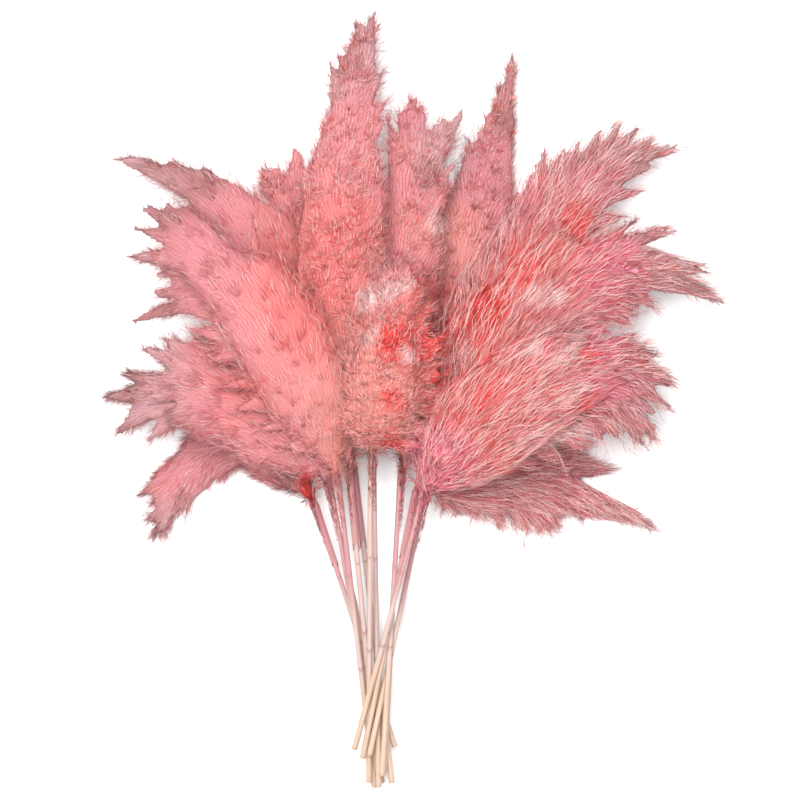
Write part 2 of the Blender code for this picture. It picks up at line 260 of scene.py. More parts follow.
def straight_sheath():
    """A rolled leaf round the top quarter of a cane of length one."""
    reach = SHEATH_END - SHEATH_START
    bpy.ops.mesh.primitive_cylinder_add(
        vertices=SHEATH_SIDES, radius=SHEATH_RADIUS * MM, depth=reach, end_fill_type="NOTHING",
        location=(0.0, 0.0, SHEATH_START + reach / 2)
    )
    roll = bpy.context.object
    bpy.ops.object.transform_apply(location=True, rotation=False, scale=False)
    bpy.ops.object.mode_set(mode="EDIT")
    bpy.ops.mesh.select_all(action="SELECT")
    bpy.ops.mesh.subdivide(number_cuts=SHEATH_CUTS, smoothness=1.0)
    bpy.ops.mesh.select_all(action="DESELECT")
    shape = bmesh.from_edit_mesh(roll.data)
    for face in shape.faces:
        middle = face.calc_center_median()
        face.select = middle.y > 0 and abs(middle.x) < 0.18 * SHEATH_RADIUS * MM
    bmesh.update_edit_mesh(roll.data)
    bpy.ops.mesh.delete(type="FACE")
    bpy.ops.object.mode_set(mode="OBJECT")
    places = corners_of(roll.data)
    turn = np.arctan2(places[:, 1], places[:, 0])
    share = (places[:, 2] * MM - SHEATH_START) / reach
    from_slit = np.abs((turn - math.pi / 2 + math.pi) % (2 * math.pi) - math.pi)
    ragged = 0.35 * np.sin(5 * turn + 1.0) + 0.25 * np.sin(11 * turn)
    radius = SHEATH_RADIUS * (1.0 + VEIN * np.cos(24 * turn) + 0.16 * np.exp(-(from_slit / 0.35) ** 2)
                              + 0.10 * np.clip(share - 0.8, 0.0, 1.0) / 0.2)
    places[:, 0] = radius * np.cos(turn)
    places[:, 1] = radius * np.sin(turn)
    mouth = SHEATH_MOUTH * (1.0 - np.clip(share, 0.0, 1.0)) ** 3
    tongue = 0.05 * np.exp(-((from_slit - math.pi) / 0.8) ** 2) * np.clip(share, 0.0, 1.0) ** 3
    places[:, 2] += (mouth * (0.5 + 0.5 * np.sin(turn) + 0.4 * ragged) + tongue) / MM
    set_corners(roll.data, places)
    wall = roll.modifiers.new("wall", "SOLIDIFY")
    wall.thickness = SHEATH_WALL * MM
    wall.offset = 1.0
    bpy.context.view_layer.objects.active = roll
    bpy.ops.object.modifier_apply(modifier=wall.name)
    return roll


SHEATH = fibre_material("sheath_papery", [(0.70, linear(196, 140, 128, 0.6)), (0.72, linear(224, 172, 168, 0.62)),
                                          (0.85, linear(216, 146, 152, 0.62)), (0.95, linear(206, 130, 138, 0.6))],
                        34.0, 0.45, 0.7)
sheath = straight_sheath()
lengthwise_map(sheath.data, SHEATH_RADIUS)
for name in stalks:
    if "sheath_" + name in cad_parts:
        mesh = sheath.data.copy()
        mesh.name = "leaf_" + name
        set_corners(mesh, laid_along(corners_of(mesh), *cane_ends(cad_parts["stem_" + name].data)))
        mesh.materials.append(SHEATH)
        mesh.shade_smooth()
        mesh.set_sharp_from_angle(angle=math.radians(50))
        piece = bpy.data.objects.new("leaf_" + name, mesh)
        bpy.context.scene.collection.objects.link(piece)
        part_of(piece, "sheath_" + name)
bpy.data.objects.remove(sheath)

# The down: the dense soft body of each plume, where so many hairs lie together that no single one can be
# told. It has the form of the plume, ruffled into lobes, and the dye shows in it as soft patches, darkened with painted
# shade.
VOXEL = 2.3
RUFFLE = 2.2
RUFFLE_WIDTH = 12.0
KEPT_FACES = 0.5
WEDGE_LEVELS = (-30.0, 230.0)
CORE_RADIUS = 3.8
SIDE_CORE_RADIUS = 2.4
CORE_TAPER = (1.0, 1.0, 1.0, 0.85)
# Painted shade: the down's dye is darkened all over by this share, for the shade that fills a dense mass of hair.
DOWN_SHADE = 0.62

# The dye took unevenly. The tones as the eye sees them on the bunch, from the deepest to the palest.
DEEP, RED, CORAL, PEACH, PALE, ROSE, PINK, MAUVE, SMOKE, BROWN = range(10)
DYE_STRENGTH = 1.25
TONES = [linear(204, 54, 50, DYE_STRENGTH), linear(216, 76, 73, DYE_STRENGTH), linear(201, 108, 105, DYE_STRENGTH),
         linear(209, 134, 126, DYE_STRENGTH), linear(230, 200, 197, 1.1), linear(200, 127, 129, DYE_STRENGTH),
         linear(220, 118, 138, DYE_STRENGTH), linear(191, 121, 126, DYE_STRENGTH),
         linear(184, 142, 144, DYE_STRENGTH), linear(150, 104, 102, DYE_STRENGTH)]

# Each patch of dye has a place across and along the bunch, a reach and a tone. Millimetres. The small DEEP and RED
# patches in the gaps between the plumes and between clumps of hair are painted shade, dark red where shade falls.
PATCHES = [
    (-167, 147, 55, MAUVE), (-195, 91, 50, MAUVE), (-163, 83, 45, ROSE), (-115, 155, 50, ROSE),
    (-99, 139, 35, CORAL), (-103, 87, 50, CORAL), (-150, 100, 26, MAUVE), (-128, 40, 22, ROSE), (-211, 3, 45, SMOKE), (-171, 3, 45, MAUVE),
    (-139, 59, 40, ROSE), (-135, 11, 40, CORAL), (-123, -21, 35, ROSE), (-99, 11, 40, ROSE),
    (-99, -52, 20, ROSE), (-102, -66, 12, BROWN), (-90, -64, 9, DEEP), (-203, -69, 40, ROSE), (-192, -52, 24, MAUVE), (-211, -101, 22, SMOKE), (-47, 203, 50, ROSE),
    (-51, 275, 34, MAUVE), (-47, 139, 40, CORAL), (-75, 59, 40, CORAL), (-67, 3, 40, PEACH),
    (-35, 3, 35, PEACH), (-51, 43, 30, PEACH), (-31, -13, 25, PEACH), (-37, 82, 7, PALE),
    (-27, 86, 7, PALE), (-17, 91, 6, PALE), (-35, 54, 6, PALE), (-5, 40, 5, PALE),
    (-16, 48, 13, DEEP), (-18, 3, 9, RED), (13, 51, 15, RED), (33, 62, 12, DEEP),
    (60, 78, 12, DEEP), (90, 112, 15, RED), (133, 147, 13, RED), (-11, 187, 45, ROSE),
    (-6, 94, 6, PALE), (-18, -31, 8, RED), (29, 21, 9, RED),
    (58, 42, 8, RED), (56, 8, 8, RED), (136, 42, 7, RED), (136, 4, 7, RED),
    (96, 88, 6, PALE), (105, 90, 6, PALE), (114, 87, 6, PALE), (115, 37, 5, PALE), (123, 43, 5, PALE),
    (131, 48, 5, PALE), (93, 44, 6, PALE), (115, 0, 5, PALE), (123, 6, 5, PALE), (131, 11, 5, PALE),
    (93, 4, 6, PALE), (115, -31, 5, PALE), (123, -26, 5, PALE), (131, -21, 5, PALE),
    (21, 211, 24, SMOKE), (13, 187, 12, BROWN), (-3, 235, 20, MAUVE), (29, 235, 20, SMOKE),
    (-3, 123, 45, ROSE), (13, 83, 30, CORAL), (61, 179, 45, MAUVE), (81, 259, 30, ROSE),
    (29, 139, 25, PEACH), (20, 147, 8, PALE), (117, 171, 50, ROSE), (157, 195, 40, MAUVE),
    (189, 203, 30, SMOKE), (181, 163, 35, MAUVE), (117, 115, 40, CORAL), (149, 107, 30, PINK),
    (213, 99, 35, SMOKE), (181, 83, 35, MAUVE), (53, 35, 50, CORAL), (85, 3, 45, CORAL),
    (117, 43, 45, ROSE), (149, 47, 14, PINK), (149, 11, 14, PINK), (181, 19, 35, MAUVE),
    (181, -21, 30, SMOKE), (149, -21, 30, MAUVE), (93, -21, 35, ROSE), (69, -29, 30, CORAL),
    (29, -45, 24, PINK), (77, -77, 40, ROSE), (141, -85, 35, MAUVE), (181, -93, 20, SMOKE),
]

UP = np.array([0.02, 0.03, 1.0])
# Each plume's axis from the top of its cane to its tip, and the locks that part from it: the share of
# the axis at which a lock leaves and the place of its tip. The tassels are more locks, soft and thin.
# Millimetres, before the bunch is set down.
SET_DOWN = np.array([0.92, 1.28, -4.0])
PLUMES = {
    "left_low": {
        "axis": [(-84, -80, 36), (-102, -56, 26), (-128, -32, 17), (-154, -28, 14), (-178, -52, 13),
                 (-200, -86, 11), (-215, -111, 6)],
        "locks": [(0.50, (-231, -80, 10)), (0.62, (-187, -91, 9)), (0.40, (-170, -78, 12)),
                  (0.28, (-146, -52, 12)), (0.66, (-222, -97, 8)), (0.34, (-176, -12, 16))],
        "tassels": [(0.70, (-208, -104, 8)), (0.56, (-222, -86, 9))],
    },
    "left_mid": {
        "axis": [(-69, -64, 74), (-92, -34, 84), (-128, -2, 95), (-170, 8, 93), (-212, 8, 82),
                 (-249, 4, 66)],
        "locks": [(0.50, (-244, -28, 62)), (0.42, (-220, -35, 70)),
                  (0.50, (-234, 24, 76)), (0.40, (-222, 45, 86)), (0.22, (-150, -36, 92)),
                  (0.30, (-202, 50, 90)), (0.46, (-234, 10, 74))],
        "tassels": [(0.10, (-110, -52, 76)), (0.15, (-130, -52, 78)), (0.20, (-150, -48, 80)), (0.26, (-172, -42, 80)),
                    (0.06, (-96, -58, 70)), (0.36, (-206, 54, 88)), (0.30, (-184, 60, 94)), (0.26, (-172, 62, 98)),
                    (0.30, (-186, 54, 96)), (0.26, (-174, 48, 98)), (0.22, (-162, 44, 100)),
                    (0.46, (-238, 22, 78)), (0.40, (-216, 48, 88)), (0.34, (-196, 54, 90)), (0.50, (-232, -24, 66)),
                    (0.44, (-214, -34, 72)), (0.48, (-240, -22, 62))],
    },
    "left_high": {
        "axis": [(-62, -59, 92), (-84, 8, 130), (-116, 70, 146), (-156, 108, 142), (-194, 114, 123),
                 (-226, 116, 102)],
        "locks": [(0.42, (-232, 62, 98)), (0.55, (-210, 100, 108)), (0.55, (-228, 140, 106)),
                  (0.45, (-220, 155, 112)), (0.30, (-196, 76, 118)), (0.36, (-168, 136, 122)),
                  (0.36, (-200, 152, 120)), (0.42, (-214, 88, 108)), (0.20, (-182, 60, 122)),
                  (0.14, (-166, 46, 120))],
        "tassels": [(0.32, (-176, 26, 120)), (0.26, (-162, 10, 120)), (0.20, (-146, -8, 118)), (0.14, (-128, -24, 112)),
                    (0.08, (-108, -40, 102)), (0.12, (-74, 84, 134)), (0.20, (-86, 112, 138)), (0.28, (-106, 134, 136)),
                    (0.36, (-130, 150, 130)), (0.42, (-222, 160, 109)), (0.40, (-206, 166, 111)), (0.38, (-192, 163, 113)),
                    (0.16, (-171, 64, 119)), (0.42, (-186, 158, 114)), (0.40, (-174, 152, 116)), (0.36, (-166, 146, 118)), (0.45, (-212, 158, 110)),
                    (0.42, (-204, 160, 112)),
                    (0.36, (-190, 146, 118)), (0.40, (-196, 134, 114)), (0.20, (-172, 52, 112)), (0.26, (-186, 58, 108)),
                    (0.45, (-216, 80, 104)), (0.42, (-208, 70, 106))],
    },
    "left_top": {
        "axis": [(-71, -67, 53), (-76, 8, 60), (-100, 88, 62), (-144, 150, 62), (-192, 184, 60),
                 (-242, 197, 50)],
        "locks": [(0.55, (-202, 191, 58)), (0.60, (-204, 176, 56)), (0.45, (-168, 184, 60)),
                  (0.38, (-142, 176, 60)), (0.52, (-196, 160, 58))],
        "tassels": [(0.20, (-84, 112, 56)), (0.27, (-96, 136, 56)), (0.34, (-112, 156, 56)), (0.40, (-132, 174, 56)),
                    (0.45, (-176, 196, 60)), (0.36, (-152, 186, 60)), (0.30, (-130, 172, 60)), (0.55, (-206, 200, 58))],
    },
    "centre_left": {
        "axis": [(-52, -48, 35), (-64, 18, 24), (-82, 90, 17), (-102, 146, 16), (-122, 193, 12)],
        "locks": [(0.55, (-94, 211, 14)), (0.50, (-132, 170, 14)), (0.42, (-78, 200, 15)),
                  (0.30, (-124, 130, 16)), (0.62, (-112, 196, 14))],
        "tassels": [(0.60, (-128, 196, 14)), (0.50, (-104, 200, 15)), (0.55, (-118, 200, 14)), (0.45, (-86, 206, 15)),
                    (0.50, (-80, 213, 15)), (0.45, (-74, 202, 16)), (0.55, (-99, 216, 14)), (0.50, (-133, 189, 13)),
                    (0.40, (-138, 172, 14))],
    },
    "centre_tall": {
        "axis": [(-54, -52, 80), (-58, 18, 99), (-60, 98, 104), (-56, 178, 99), (-50, 250, 89),
                 (-31, 314, 76)],
        "locks": [(0.60, (-68, 274, 86)), (0.64, (-23, 268, 82)), (0.48, (-75, 226, 92)),
                  (0.74, (-30, 290, 80)), (0.50, (-33, 212, 94)), (0.34, (-92, 176, 98)),
                  (0.78, (-52, 288, 84)), (0.70, (-68, 258, 88))],
        "tassels": [(0.28, (-94, 112, 104)), (0.36, (-92, 138, 102)), (0.44, (-90, 160, 100)), (0.16, (-27, 84, 108)),
                    (0.26, (-25, 116, 108)), (0.34, (-25, 140, 104)), (0.42, (-26, 164, 100)), (0.66, (-26, 278, 84)), (0.70, (-30, 284, 82)), (0.80, (-46, 300, 80)), (0.78, (-38, 296, 80)),
                    (0.50, (-23, 207, 94)), (0.45, (-25, 190, 96)), (0.56, (-21, 226, 92)), (0.60, (-20, 244, 90)),
                    (0.74, (-62, 280, 84)), (0.85, (-48, 306, 80))],
    },
    "centre_front": {
        "axis": [(-35, -40, 95), (-32, -14, 127), (-24, 26, 157), (-15, 66, 163), (-1, 96, 153)],
        "locks": [(0.45, (-38, 94, 150)), (0.50, (18, 80, 144)), (0.30, (-50, 58, 152))],
        "tassels": [(0.62, (-16, 112, 146)), (0.52, (-26, 107, 148)), (0.46, (-30, 100, 148)), (0.68, (-4, 114, 146)),
                    (0.50, (-20, 104, 140)), (0.45, (-30, 96, 142)), (0.60, (-12, 108, 142)), (0.55, (6, 104, 144)),
                    (0.30, (20, 42, 148)), (0.20, (20, 12, 138)), (0.10, (14, -16, 122)), (0.30, (-62, 42, 138)),
                    (0.36, (28, 56, 144)), (0.33, (31, 48, 140)), (0.27, (31, 36, 138)), (0.23, (29, 24, 136)),
                    (0.18, (30, 10, 132)), (0.14, (27, -4, 128)), (0.08, (23, -25, 118)), (0.04, (14, -36, 108)),
                    (0.20, (-62, 12, 128)), (0.10, (-56, -14, 112)), (0.40, (22, 66, 146)), (0.40, (-54, 72, 146))],
    },
    "centre_back": {
        "axis": [(-34, -42, 51), (-27, 26, 60), (-15, 106, 62), (-2, 178, 60), (-3, 249, 50)],
        "locks": [(0.66, (7, 243, 52)), (0.56, (-23, 232, 54)), (0.56, (26, 232, 54)),
                  (0.58, (40, 240, 52)), (0.45, (-38, 196, 58)), (0.62, (17, 226, 54)),
                  (0.48, (-22, 212, 58)), (0.50, (36, 198, 58)), (0.40, (24, 166, 62))],
        "tassels": [(0.38, (-9, 249, 50)), (0.38, (5, 251, 50)), (0.38, (25, 239, 52)), (0.38, (44, 238, 50)),
                    (0.30, (33, 228, 54)), (0.18, (8, 88, 84)), (0.24, (14, 110, 80)), (0.28, (18, 130, 76)),
                    (0.50, (34, 216, 56)), (0.46, (34, 184, 58)), (0.42, (30, 172, 60)), (0.60, (-14, 238, 54))],
    },
    "centre_right": {
        "axis": [(-10, -51, 35), (14, 26, 25), (38, 106, 17), (58, 178, 16), (73, 238, 15),
                 (81, 282, 12)],
        "locks": [(0.50, (72, 200, 16)), (0.55, (44, 220, 15)), (0.66, (84, 236, 14)),
                  (0.40, (26, 184, 17)), (0.72, (70, 262, 13))],
        "tassels": [(0.60, (64, 236, 15)), (0.66, (72, 250, 14)), (0.60, (52, 226, 15)), (0.50, (41, 208, 16)),
                    (0.66, (58, 240, 14)), (0.40, (34, 191, 17)), (0.72, (76, 266, 13)), (0.38, (50, 223, 16)),
                    (0.34, (40, 205, 17)), (0.38, (60, 242, 15)), (0.80, (80, 285, 12)), (0.76, (82, 280, 12))],
    },
    "right_top": {
        "axis": [(-10, -57, 53), (28, 6, 60), (68, 82, 62), (114, 146, 62), (162, 188, 60),
                 (217, 208, 50)],
        "locks": [(0.62, (180, 223, 56)), (0.50, (146, 213, 58)), (0.36, (96, 194, 60)),
                  (0.58, (188, 172, 56)), (0.62, (192, 190, 56)), (0.42, (118, 204, 60)),
                  (0.42, (132, 211, 60)), (0.56, (164, 218, 58)), (0.48, (176, 152, 60))],
        "tassels": [(0.05, (8, 42, 84)), (0.12, (24, 76, 84)), (0.20, (42, 106, 82)), (0.27, (62, 132, 80)),
                    (0.33, (80, 154, 76)), (0.42, (105, 211, 58)), (0.50, (150, 221, 57)), (0.58, (166, 226, 56)), (0.46, (134, 216, 58)), (0.38, (106, 202, 60)),
                    (0.30, (86, 190, 60)), (0.66, (196, 214, 54)), (0.70, (206, 206, 54)), (0.52, (156, 231, 56)),
                    (0.56, (172, 234, 55)), (0.60, (188, 229, 54)), (0.46, (139, 224, 57)), (0.42, (124, 214, 58)),
                    (0.36, (108, 206, 59))],
    },
    "right_high": {
        "axis": [(3, -67, 74), (34, 0, 94), (78, 62, 104), (132, 104, 102), (192, 102, 88),
                 (247, 80, 68)],
        "locks": [(0.62, (238, 103, 76)), (0.50, (214, 139, 80)), (0.42, (180, 148, 90)),
                  (0.56, (196, 72, 84)), (0.46, (174, 60, 92)), (0.36, (140, 146, 98)),
                  (0.40, (158, 54, 96))],
        "tassels": [(0.08, (28, 58, 98)), (0.16, (48, 86, 102)), (0.24, (70, 110, 104)), (0.30, (92, 130, 104)),
                    (0.36, (112, 144, 102)), (0.40, (192, 76, 86)), (0.38, (183, 70, 90)), (0.40, (176, 65, 92)),
                    (0.60, (228, 92, 78)), (0.10, (2, 20, 96)), (0.16, (10, 50, 100))],
    },
    "right_mid": {
        "axis": [(9, -70, 92), (46, -24, 127), (92, 12, 144), (144, 30, 138), (202, 13, 110)],
        "locks": [(0.54, (198, 38, 112)), (0.64, (206, -9, 104)), (0.48, (196, -36, 102)),
                  (0.40, (180, 58, 118)), (0.34, (156, -34, 114)), (0.24, (112, -34, 124)),
                  (0.30, (152, 60, 124)), (0.44, (188, -40, 102)),
                  (0.40, (170, -36, 108)), (0.30, (136, -36, 116)), (0.58, (207, 18, 108))],
        "tassels": [(0.06, (42, 30, 126)), (0.12, (64, 44, 132)), (0.18, (88, 56, 134)), (0.24, (112, 64, 132)),
                    (0.06, (56, -60, 92)), (0.10, (76, -58, 96)), (0.16, (98, -56, 98)), (0.22, (120, -52, 98)),
                    (0.38, (198, -34, 103)), (0.40, (201, -27, 103)),
                    (0.50, (190, 48, 112)), (0.46, (176, 52, 116)), (0.10, (14, -2, 112)), (0.16, (18, 24, 118)),
                    (0.20, (30, 40, 122))],
    },
    "right_low": {
        "axis": [(10, -76, 36), (38, -62, 27), (80, -54, 18), (126, -64, 15), (164, -84, 13),
                 (194, -101, 6)],
        "locks": [(0.36, (104, -111, 9)), (0.50, (138, -97, 9)), (0.44, (166, -54, 13)),
                  (0.30, (140, -36, 15)), (0.16, (58, -92, 14)), (0.24, (84, -100, 12)),
                  (0.10, (34, -90, 14)), (0.30, (118, -106, 10))],
        "tassels": [(0.06, (22, -92, 16)), (0.12, (46, -96, 14)), (0.20, (72, -100, 13)), (0.30, (94, -108, 11)),
                    (0.14, (50, -102, 13)), (0.20, (70, -108, 12)), (0.26, (90, -112, 11)), (0.34, (112, -114, 9))],
    },
}


# Where the locks of a plume stand apart: each parting runs from one place to another and widens, with
# half its width at both. Millimetres, before the bunch is set down.
PARTINGS = {
    "left_low": [(-158, -56, 1, -186, -92, 5), (-132, -64, 3, -168, -92, 9), (-194, -52, 1, -214, -92, 7)],
    "left_mid": [(-184, 1, 2, -238, -13, 7)],
    "left_high": [(-178, 134, 1, -232, 130, 6)],
    "right_top": [(160, 189, 1, 222, 199, 5), (150, 176, 1, 210, 181, 6), (148, 162, 1, 200, 162, 6)],
    "right_high": [(154, 112, 3, 181, 105, 5), (176, 90, 1, 238, 78, 6), (160, 136, 1, 228, 121, 9)],
    "right_mid": [(166, 26, 2, 210, 2, 8), (164, -3, 2, 206, -20, 7), (150, 60, 2, 206, 58, 5),
                  (146, -26, 2, 174, -49, 6)],
    "right_low": [(128, -56, 4, 202, -85, 14)],
}


def dye_shares(place, patches):
    """How much of each patch of dye is found at each place. Small patches show over large ones."""
    across, along, reach, _ = (np.array(column, float) for column in zip(*patches))
    gap = (place[:, 0:1] - across) ** 2 + (place[:, 1:2] - along) ** 2
    weight = np.exp(-gap / (2 * (0.55 * reach) ** 2)) * (50.0 / reach) + 1e-9
    return weight / weight.sum(axis=1, keepdims=True)


def wedges(name, partings):
    """Upright wedges, each widening from one place to another."""
    corners = []
    faces = []
    for x1, y1, wide1, x2, y2, wide2 in partings:
        run = unit(np.array([x2 - x1, y2 - y1], float))
        side = np.array([-run[1], run[0]])
        start, end = np.array([x1, y1]) + SET_DOWN[:2], np.array([x2, y2]) + SET_DOWN[:2]
        first = len(corners)
        for level in WEDGE_LEVELS:
            for place in (start - side * wide1, end - side * wide2, end + side * wide2, start + side * wide1):
                corners.append((*(place * MM), level * MM))
        faces += [[first + k for k in face] for face in
                  ((3, 2, 1, 0), (4, 5, 6, 7), (0, 1, 5, 4), (1, 2, 6, 5), (2, 3, 7, 6), (3, 0, 4, 7))]
    mesh = bpy.data.meshes.new(name)
    mesh.from_pydata(corners, [], faces)
    piece = bpy.data.objects.new(name, mesh)
    bpy.context.scene.collection.objects.link(piece)
    return piece


def apply_all(body):
    for modifier in list(body.modifiers):
        bpy.ops.object.modifier_apply(modifier=modifier.name)


def drop_crumbs(mesh):
    """Keeps only the largest piece of a skin."""
    ends = np.zeros(2 * len(mesh.edges), np.int32)
    mesh.edges.foreach_get("vertices", ends)
    ends = ends.reshape(-1, 2)
    label = np.arange(len(mesh.vertices))
    before = None
    while before is None or (label != before).any():
        before = label.copy()
        lowest = np.minimum(label[ends[:, 0]], label[ends[:, 1]])
        np.minimum.at(label, ends[:, 0], lowest)
        np.minimum.at(label, ends[:, 1], lowest)
        label = label[label]
    kept = np.bincount(label).argmax()
    shape = bmesh.new()
    shape.from_mesh(mesh)
    shape.verts.ensure_lookup_table()
    bmesh.ops.delete(shape, geom=[shape.verts[k] for k in np.flatnonzero(label != kept)], context="VERTS")
    shape.to_mesh(mesh)
    shape.free()


def down_body(name, form, locked, partings):
    """A fine closed skin over a plume's form, parted between its locks, and ruffled by modifiers."""
    body = bpy.data.objects.new(name, form.copy())
    bpy.context.scene.collection.objects.link(body)
    bpy.context.view_layer.objects.active = body
    body.select_set(True)
    weld = body.modifiers.new("weld", "WELD")
    weld.merge_threshold = 0.02 * MM
    if partings:
        cutter = wedges("partings", partings)
        part = body.modifiers.new("part", "BOOLEAN")
        part.operation = "DIFFERENCE"
        part.object = cutter
    apply_all(body)
    if partings:
        bpy.data.objects.remove(cutter)
    t = np.linspace(0.2, 1.0, 6)
    start, bend, end = (points[:, None] for points in locked[:3])
    lines = start * (1 - t[:, None]) ** 2 + bend * (2 * t * (1 - t))[:, None] + end * t[:, None] ** 2
    thick = np.where(locked[3] < 0.41, CORE_RADIUS, SIDE_CORE_RADIUS)
    cores = joined_mesh("cores", [strands(lines, thick, CORE_TAPER, np.zeros(len(lines)))])
    shape = bmesh.new()
    shape.from_mesh(body.data)
    shape.from_mesh(cores)
    shape.to_mesh(body.data)
    shape.free()
    bpy.data.meshes.remove(cores)
    skin = body.modifiers.new("skin", "REMESH")
    skin.mode = "VOXEL"
    skin.voxel_size = VOXEL * MM
    skin.use_smooth_shade = True
    soften = body.modifiers.new("soften", "SMOOTH")
    soften.iterations = 1
    ruffle = body.modifiers.new("ruffle", "DISPLACE")
    ruffle.texture = LOBES
    ruffle.texture_coords = "LOCAL"
    ruffle.strength = RUFFLE * MM
    ruffle.mid_level = 0.38
    thin = body.modifiers.new("thin", "DECIMATE")
    thin.ratio = KEPT_FACES
    apply_all(body)
    body.select_set(False)
    drop_crumbs(body.data)
    body.data.materials.clear()
    return body


def dye_down(mesh, patches):
    """Lifts the skin off the floor, and stores the dye at each of its corners."""
    places = corners_of(mesh)
    places[:, 2] = np.maximum(places[:, 2], 0.4)
    mesh.vertices.foreach_set("co", (places * MM).astype(np.float32).ravel())
    tone = np.array([TONES[row[3]] for row in patches])
    colour = dye_shares(places, patches) @ tone
    layer = mesh.color_attributes.new("dye", "FLOAT_COLOR", "POINT")
    layer.data.foreach_set("color", np.hstack([colour, np.ones((len(colour), 1))]).astype(np.float32).ravel())
    mesh.update()


def unit(vectors):
    return vectors / np.linalg.norm(vectors, axis=-1, keepdims=True)


def smooth_line(points, count):
    """Places at even steps along a smooth curve through given points, and its direction there."""
    points = np.array(points, float)
    before = np.vstack([points[:1], points, points[-1:]])
    t = np.linspace(0.0, 1.0, 40)[:, None]
    runs = []
    for a, b, c, d in zip(before, before[1:], before[2:], before[3:]):
        runs.append((2 * b + (c - a) * t + (2 * a - 5 * b + 4 * c - d) * t ** 2
                     + (3 * b - a - 3 * c + d) * t ** 3) / 2)
    line = np.vstack(runs)
    steps = np.linalg.norm(np.diff(line, axis=0), axis=1)
    length = np.concatenate([[0.0], np.cumsum(steps)])
    even = np.linspace(0.0, length[-1], count)
    places = np.stack([np.interp(even, length, line[:, axis]) for axis in range(3)], axis=1)
    return places, unit(np.gradient(places, axis=0)), length[-1]


def nearest_on(axis, places):
    return np.argmin(((places[:, None] - axis[None]) ** 2).sum(axis=2), axis=1)


def hair_lie(place, out, axis, flow):
    """The way the hairs lie on the skin, from further back on the axis, and the way across them."""
    back = np.maximum(nearest_on(axis, place) - int(flow * len(axis)), 0)
    along = place - axis[back] + 1e-6
    along = unit(along - out * np.einsum("ni,ni->n", along, out)[:, None])
    return along, np.cross(out, along)


def comb_down(mesh, axis, flow):
    """Stores at each corner of the skin the way across the hairs that lie there."""
    out = np.zeros(3 * len(mesh.vertices), np.float32)
    mesh.vertices.foreach_get("normal", out)
    _, across = hair_lie(corners_of(mesh), unit(out.reshape(-1, 3).astype(float)), axis, flow)
    layer = mesh.attributes.new("across", "FLOAT_VECTOR", "POINT")
    layer.data.foreach_set("vector", across.astype(np.float32).ravel())


def down_material(name, contrast):
    """Matted hair: the dye, in fine streaks along the hairs, with painted shade between them and a painted highlight on
    top.
    """
    material, nodes, links, shader = node_material(name)
    dye = nodes.new("ShaderNodeAttribute")
    dye.attribute_name = "dye"
    across = nodes.new("ShaderNodeAttribute")
    across.attribute_name = "across"
    place = nodes.new("ShaderNodeTexCoord")
    sway = nodes.new("ShaderNodeTexNoise")
    sway.inputs["Scale"].default_value = 110.0
    sway.inputs["Detail"].default_value = 2.0
    middle = nodes.new("ShaderNodeVectorMath")
    middle.operation = "SUBTRACT"
    middle.inputs[1].default_value = (0.5, 0.5, 0.5)
    turn = nodes.new("ShaderNodeVectorMath")
    turn.operation = "MULTIPLY_ADD"
    turn.inputs[1].default_value = (1.3, 1.3, 1.3)
    links.new(place.outputs["Object"], sway.inputs["Vector"])
    links.new(sway.outputs["Color"], middle.inputs[0])
    links.new(middle.outputs["Vector"], turn.inputs[0])
    links.new(across.outputs["Vector"], turn.inputs[2])
    streaks = []
    for scale, frequency in ((150.0, 6.0), (60.0, 6.0)):
        streak = nodes.new("ShaderNodeTexGabor")
        streak.gabor_type = "3D"
        streak.inputs["Scale"].default_value = scale
        streak.inputs["Frequency"].default_value = frequency
        streak.inputs["Anisotropy"].default_value = 1.0
        links.new(place.outputs["Object"], streak.inputs["Vector"])
        links.new(turn.outputs["Vector"], streak.inputs[-1])
        streaks.append(streak)
    both = nodes.new("ShaderNodeMath")
    both.operation = "ADD"
    links.new(streaks[0].outputs["Value"], both.inputs[0])
    links.new(streaks[1].outputs["Value"], both.inputs[1])
    half = nodes.new("ShaderNodeMath")
    half.operation = "MULTIPLY"
    half.inputs[1].default_value = 0.5
    links.new(both.outputs["Value"], half.inputs[0])
    # Painted shade and painted highlight: the streaks darken and redden the dye between the hairs and lighten it on top
    # of them.
    depth = nodes.new("ShaderNodeValToRGB")
    low = [share * DOWN_SHADE * (1.0 - contrast * shade_loss) for share, shade_loss in ((1.0, 0.20), (1.0, 0.42), (1.0, 0.40))]
    high = [DOWN_SHADE * (1.0 + contrast * highlight_gain) for highlight_gain in (0.06, 0.34, 0.34)]
    depth.color_ramp.elements[0].position = 0.42
    depth.color_ramp.elements[0].color = (*low, 1.0)
    depth.color_ramp.elements[1].position = 0.58
    depth.color_ramp.elements[1].color = (*high, 1.0)
    mix = nodes.new("ShaderNodeMix")
    mix.data_type = "RGBA"
    mix.blend_type = "MULTIPLY"
    mix.inputs["Factor"].default_value = 1.0
    links.new(half.outputs["Value"], depth.inputs["Fac"])
    links.new(dye.outputs["Color"], mix.inputs["A"])
    links.new(depth.outputs["Color"], mix.inputs["B"])
    links.new(mix.outputs["Result"], shader.inputs["Base Color"])
    shader.inputs["Roughness"].default_value = 0.9
    shader.inputs["Specular IOR Level"].default_value = 0.1
    return material


LOBES = bpy.data.textures.new("lobes", "CLOUDS")
LOBES.noise_scale = RUFFLE_WIDTH * MM
LOBES.noise_depth = 1

# The hairs: silky awns and bracts set along wiry branches, all round each plume and leaning to its tip.
# Over the down they lie in small tufts, and at the edges and tips they stand free.
GOLDEN_ANGLE = math.radians(137.5)

HALF_WIDTH = 250.0
HALF_LENGTH = 315.0

